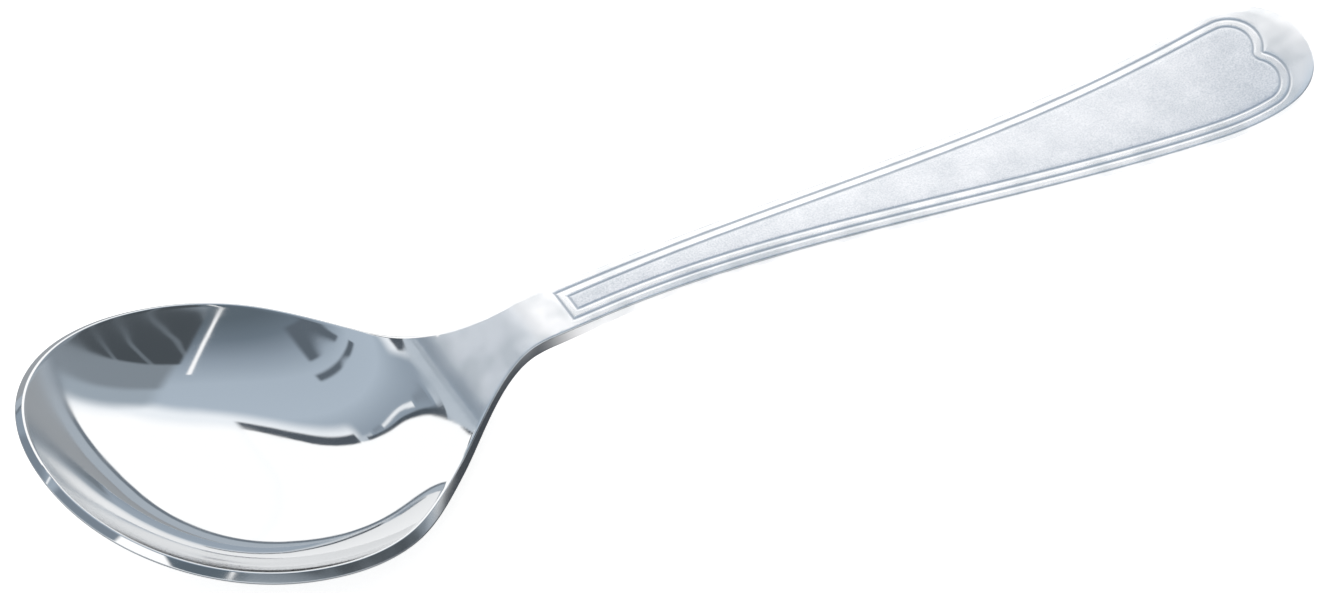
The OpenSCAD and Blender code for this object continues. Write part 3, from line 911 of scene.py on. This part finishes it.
# %% Camera
turn_angle = math.radians(29.58)
tilt_angle = math.radians(47.71)
distance = 1.6
pixels_per_mm = 8.0
image_width = 1329
aim = Vector((-3.26, -0.78, 5.67)) * MM
towards = Vector((-math.cos(tilt_angle) * math.sin(turn_angle),
                  -math.cos(tilt_angle) * math.cos(turn_angle), math.sin(tilt_angle)))
camera = bpy.data.objects.new("camera", bpy.data.cameras.new("camera"))
bpy.context.collection.objects.link(camera)
camera.location = aim + distance * towards
camera.rotation_euler = towards.to_track_quat("Z", "Y").to_euler()
camera.data.sensor_width = 36.0
camera.data.lens = camera.data.sensor_width * pixels_per_mm * (distance / MM) / image_width
camera.data.clip_end = 100.0
bpy.context.scene.camera = camera
print("camera", [round(c, 3) for c in camera.location], "lens", round(camera.data.lens, 1), "mm")


# %% [markdown]
# ## The white floor
# The spoon lies on a sheet of white paper. For the camera the paper glows a little, so that it comes out
# white and still keeps the spoon's shadow. Polished steel shows the paper too, and there a bare white
# sheet would make rim and wall vanish. So mirrors see it with painted shade and painted light: mid grey, a
# painted shadow beside the shoulder, and a painted white strip along the handle.

# %% Floor sheet
floor_reach = 3.0
corner_signs = ((-1, -1), (1, -1), (1, 1), (-1, 1))
floor_mesh = bpy.data.meshes.new("floor")
floor_mesh.from_pydata([(a * floor_reach, b * floor_reach, 0) for a, b in corner_signs], [], [(0, 1, 2, 3)])
floor = bpy.data.objects.new("floor", floor_mesh)
bpy.context.collection.objects.link(floor)
print("floor", 2 * floor_reach, "m wide")

# %% Painted shade and light of the floor in a mirror
sweep, nodes = new_material("white_sweep")
shade_middle = (-18 * MM, -14 * MM, 0.0)
shade_core, shade_reach = 20 * MM, 45 * MM
strip_across, strip_half, strip_fade = (0.1, 1.0, 0.0), 14 * MM, 19 * MM
strip_from, strip_fully = -20 * MM, -10 * MM
# Painted shade and light, for mirrors only: a painted shadow grey beside the shoulder, a painted mid grey
# elsewhere, and painted white in the strip by the handle.
shade_grey, open_painted_grey, strip_painted_white = linear("#5E646B"), linear("#ABB1B7"), linear("#FFFFFF")
place = add(nodes, "ShaderNodeTexCoord", {}, {}).node.outputs["Object"]
away = add(nodes, VECTOR, {"operation": "DISTANCE"}, {0: place, 1: shade_middle}).node.outputs["Value"]
away = add(nodes, RANGE, SMOOTH, {0: away, 1: shade_core, 2: shade_reach})
shade = add(nodes, MIX, COLOUR, {0: away, 6: shade_grey, 7: open_painted_grey}).node.outputs[2]
beside = add(nodes, VECTOR, {"operation": "DOT_PRODUCT"}, {0: place, 1: strip_across}).node.outputs["Value"]
beside = add(nodes, MATH, {"operation": "ABSOLUTE"}, {0: beside})
beside = add(nodes, RANGE, SMOOTH, {0: beside, 1: strip_fade, 2: strip_half})
by_handle = add(nodes, SEPARATE, {}, {0: place})
by_handle = add(nodes, RANGE, SMOOTH, {0: by_handle, 1: strip_from, 2: strip_fully})
by_handle = add(nodes, MATH, {"operation": "MULTIPLY"}, {0: by_handle, 1: beside})
shade = add(nodes, MIX, COLOUR, {0: by_handle, 6: shade, 7: strip_painted_white}).node.outputs[2]
print("shade", shade_reach / MM, "mm round, white strip", 2 * strip_half / MM, "mm wide")

# %% Paper of the floor
paper_white = linear("#EDEDED")
camera_glow, open_painted_glow, strip_painted_glow = 0.75, 0.1, 0.5
light_path = add(nodes, "ShaderNodeLightPath", {}, {}).node.outputs
mirrored = add(nodes, MATH, {"operation": "MAXIMUM"},
               {0: light_path["Is Glossy Ray"], 1: light_path["Is Transmission Ray"]})
shade = add(nodes, MIX, COLOUR, {0: mirrored, 6: paper_white, 7: shade}).node.outputs[2]
# For mirrors the paper also glows, more away from the painted shadow and most in the strip by the handle:
# painted light.
lift = add(nodes, MATH, {"operation": "MULTIPLY"}, {0: away, 1: open_painted_glow})
lift = add(nodes, MIX, {}, {0: by_handle, 2: lift, 3: strip_painted_glow})
glow = add(nodes, MATH, {"operation": "MULTIPLY"}, {0: light_path["Is Camera Ray"], 1: camera_glow})
glow = add(nodes, MATH, {"operation": "MULTIPLY_ADD"}, {0: mirrored, 1: lift, 2: glow})
paper = add(nodes, "ShaderNodeBsdfDiffuse", {}, {"Color": shade})
white = add(nodes, "ShaderNodeEmission", {}, {"Color": linear("#FFFFFF"), "Strength": glow})
surface = add(nodes, "ShaderNodeAddShader", {}, {0: paper, 1: white})
add(nodes, "ShaderNodeOutputMaterial", {}, {"Surface": surface})
floor_mesh.materials.append(sweep)
print(sweep.name, len(nodes.nodes), "nodes")


# %% [markdown]
# ## The soft lamp
# A wide round lamp above the spoon, a little behind it and to the left, gives a faint shadow on the paper.
# It is hidden from mirrors: what the steel shows of lamps is painted in the room below, where each edge
# can be placed.

# %% Soft lamp
lamp = bpy.data.objects.new("soft_box", bpy.data.lights.new("soft_box", "AREA"))
bpy.context.collection.objects.link(lamp)
lamp.data.shape = "DISK"
lamp.data.size = 1.2
lamp.data.energy = 4.0
lamp.location = Vector((-0.4, 0.4, 1.2))
lamp.rotation_euler = lamp.location.to_track_quat("Z", "Y").to_euler()
lamp.visible_glossy = False
print("soft box", lamp.data.energy, "W")


# %% [markdown]
# ## The room in the steel
# Polished steel shows its surroundings, so the room is half of its look: a white sweep that rises behind
# the spoon, a grey ceiling that darkens towards the camera, a strip lamp, a charcoal cloth on the right
# and some small dark cards, with pale walls in front and far to the left. They could be built as walls
# and panels, but then they would also throw light and shadow on the paper. Painted on the world by
# direction, they are seen by mirrors only, and the light stays plain. A patch of the room lies between
# a least and a most along one or more axes.

# %% Ceiling
world = bpy.data.worlds.new("studio")
bpy.context.scene.world = world
world.use_nodes = True
nodes = world.node_tree
nodes.nodes.clear()
to_back, to_right, up = (0.0, 1.0, 0.0), (1.0, 0.0, 0.0), (0.0, 0.0, 1.0)
ceiling_reach = 0.6
ceiling_shades = ((0.0, "#59646D"), (0.14, "#697580"), (0.3, "#8B97A3"),
                  (0.5, "#A6B2BE"), (0.8, "#AAB6C2"), (1.0, "#8A96A2"))
direction = add(nodes, "ShaderNodeTexCoord", {}, {}).node.outputs["Generated"]
depth = add(nodes, VECTOR, {"operation": "DOT_PRODUCT"}, {0: direction, 1: to_back}).node.outputs["Value"]
depth = add(nodes, RANGE, {}, {0: depth, 1: -ceiling_reach, 2: ceiling_reach})
ceiling = add(nodes, "ShaderNodeValToRGB", {}, {0: depth})
ramp = ceiling.node.color_ramp
while len(ramp.elements) < len(ceiling_shades):
    ramp.elements.new(0.5)
for element, (at, shade) in zip(ramp.elements, ceiling_shades):
    element.position = at
    element.color = linear(shade)
print("ceiling:", len(ramp.elements), "shades from front to back")


# %% A patch of the room
def paint(room, patches):
    """Paint patches over the room, each with a name, a colour, a soft edge and bounds along axes."""
    for name, colour, soft, bounds in patches:
        inside = 1.0
        for axis, least, most in bounds:
            along = add(nodes, VECTOR, {"operation": "DOT_PRODUCT"}, {0: direction, 1: axis})
            along = along.node.outputs["Value"]
            for limit, sign in ((least, 1), (most, -1)):
                if limit is not None:
                    share = add(nodes, RANGE, SMOOTH, {
                        0: along, 1: limit - sign * soft, 2: limit + sign * soft})
                    inside = add(nodes, MATH, {"operation": "MULTIPLY"}, {0: inside, 1: share})
        shade = linear(colour) if isinstance(colour, str) else colour
        room = add(nodes, MIX, {**COLOUR, "label": name}, {0: inside, 6: room, 7: shade}).node.outputs[2]
    print("painted:", "; ".join(patch[0] for patch in patches))
    return room


# %% Walls and cloth
# Each axis crosses the edge that it is named for: the sweep's top, the strip lamp's side, the left wall.
sweep_top = (0.123, 0.809, -0.5755)
strip_side = (0.611, -0.433, -0.662)
from_left = (0.927, 0.375, 0.0)
fold_least, fold_most = 0.9, 1.0
fold_dark, fold_pale = linear("#464C51"), linear("#697178")
folds = add(nodes, "ShaderNodeTexWave", {"wave_type": "RINGS"}, {
    "Vector": direction, "Scale": 2.2, "Distortion": 3.0, "Detail": 2.0}).node.outputs["Fac"]
folds = add(nodes, RANGE, {}, {0: folds, 1: fold_least, 2: fold_most})
charcoal = add(nodes, MIX, COLOUR, {0: folds, 6: fold_dark, 7: fold_pale}).node.outputs[2]
room = paint(ceiling, (
    ("haze before the sweep", "#EBEFF3", 0.06, ((sweep_top, -0.09, None), (to_right, 0.0, None))),
    ("left wall", "#77828D", 0.04, ((from_left, None, 0.0), (up, None, 0.58))),
    ("left wall, near part", "#77828D", 0.04, ((to_right, None, -0.45), (to_back, None, 0.45))),
    ("right wall", "#98A3AD", 0.05, ((strip_side, 0.04, None), (to_back, None, 0.17))),
    ("right wall, near part", "#7E878F", 0.03, ((strip_side, 0.03, None), (to_back, None, 0.03))),
    ("charcoal cloth", charcoal, 0.015, ((strip_side, 0.01, None), (to_back, -0.66, -0.2)))))

# %% Strip lamp and small cards
heel_top = (0.243, 0.809, -0.5755)
room = paint(room, (
    ("strip lamp", "#FFFFFF", 0.004, ((strip_side, -0.068, -0.045), (to_back, None, -0.1))),
    ("bar overhead", "#59626B", 0.02, ((to_right, -0.2, -0.13), (to_back, -0.45, -0.1))),
    ("cross bar", "#58616A", 0.02, ((to_right, -0.28, -0.09), (to_back, 0.03, 0.1), (up, 0.85, None))),
    ("grey card", "#7F8A95", 0.012, ((sweep_top, -0.012, 0.014), (to_right, -0.25, -0.15))),
    ("pale card", "#B4BDC6", 0.01, ((sweep_top, 0.0, 0.03), (to_right, -0.12, 0.03))),
    ("white edge", "#E9ECEF", 0.006, ((sweep_top, 0.002, 0.022), (to_right, None, -0.265))),
    ("dark edge, left", "#4A525A", 0.006, ((heel_top, 0.006, 0.05), (to_right, -0.4, -0.06))),
    ("dark edge, right", "#4E555D", 0.012, ((sweep_top, -0.03, 0.05), (to_right, 0.02, 0.6)))))

# %% White sweep
left_edge = (0.775, -0.632, 0.0)
room = paint(room, (
    ("sweep, far right", "#FFFFFF", 0.05, (
        (sweep_top, 0.03, None), (to_right, 0.58, None), (to_back, 0.22, None))),
    ("sweep, right", "#FFFFFF", 0.008, ((sweep_top, 0.035, None), (to_right, 0.0, 0.6))),
    ("sweep, left", "#FFFFFF", 0.008, (
        (heel_top, 0.034, None), (to_right, -0.42, 0.02), (left_edge, -0.736, None))),
    ("white card", "#FFFFFF", 0.02, ((to_right, None, -0.22), (to_back, None, -0.22), (up, 0.5, None)))))

# %% Low walls and ground
room = paint(room, (
    ("low front wall", "#CDD3D9", 0.04, ((up, None, 0.3), (to_back, None, -0.55))),
    ("front wall", "#D3D9DE", 0.03, ((to_back, None, -0.76),)),
    ("far left wall", "#C9D0D6", 0.04, ((to_right, None, -0.75),)),
    ("foot of the walls", "#6A737C", 0.006, ((up, None, 0.12),)),
    ("ground", "#A2ABB4", 0.006, ((up, None, 0.085),))))

# %% World: white for the camera, plain light, the room for mirrors
plain_light = 0.55
# The steel gives back about three quarters of the light, so the room is a third brighter than written.
room_strength = 1.33
light_path = add(nodes, "ShaderNodeLightPath", {}, {}).node.outputs
mirrored = add(nodes, MATH, {"operation": "MAXIMUM"},
               {0: light_path["Is Glossy Ray"], 1: light_path["Is Transmission Ray"]})
plain = add(nodes, MATH, {"operation": "MULTIPLY_ADD"},
            {0: light_path["Is Camera Ray"], 1: 1 - plain_light, 2: plain_light})
outside = add(nodes, "ShaderNodeBackground", {}, {"Color": linear("#FFFFFF"), "Strength": plain})
surround = add(nodes, "ShaderNodeBackground", {}, {"Color": room, "Strength": room_strength})
studio = add(nodes, "ShaderNodeMixShader", {}, {0: mirrored, 1: outside, 2: surround})
add(nodes, "ShaderNodeOutputWorld", {}, {"Surface": studio})
print("studio:", len(nodes.nodes), "nodes")


# %% [markdown]
# ## View settings
# The picture is shown without a film curve, so that a colour comes out as it is written.

# %% View settings
bpy.context.scene.view_settings.view_transform = "Standard"
bpy.context.view_layer.update()
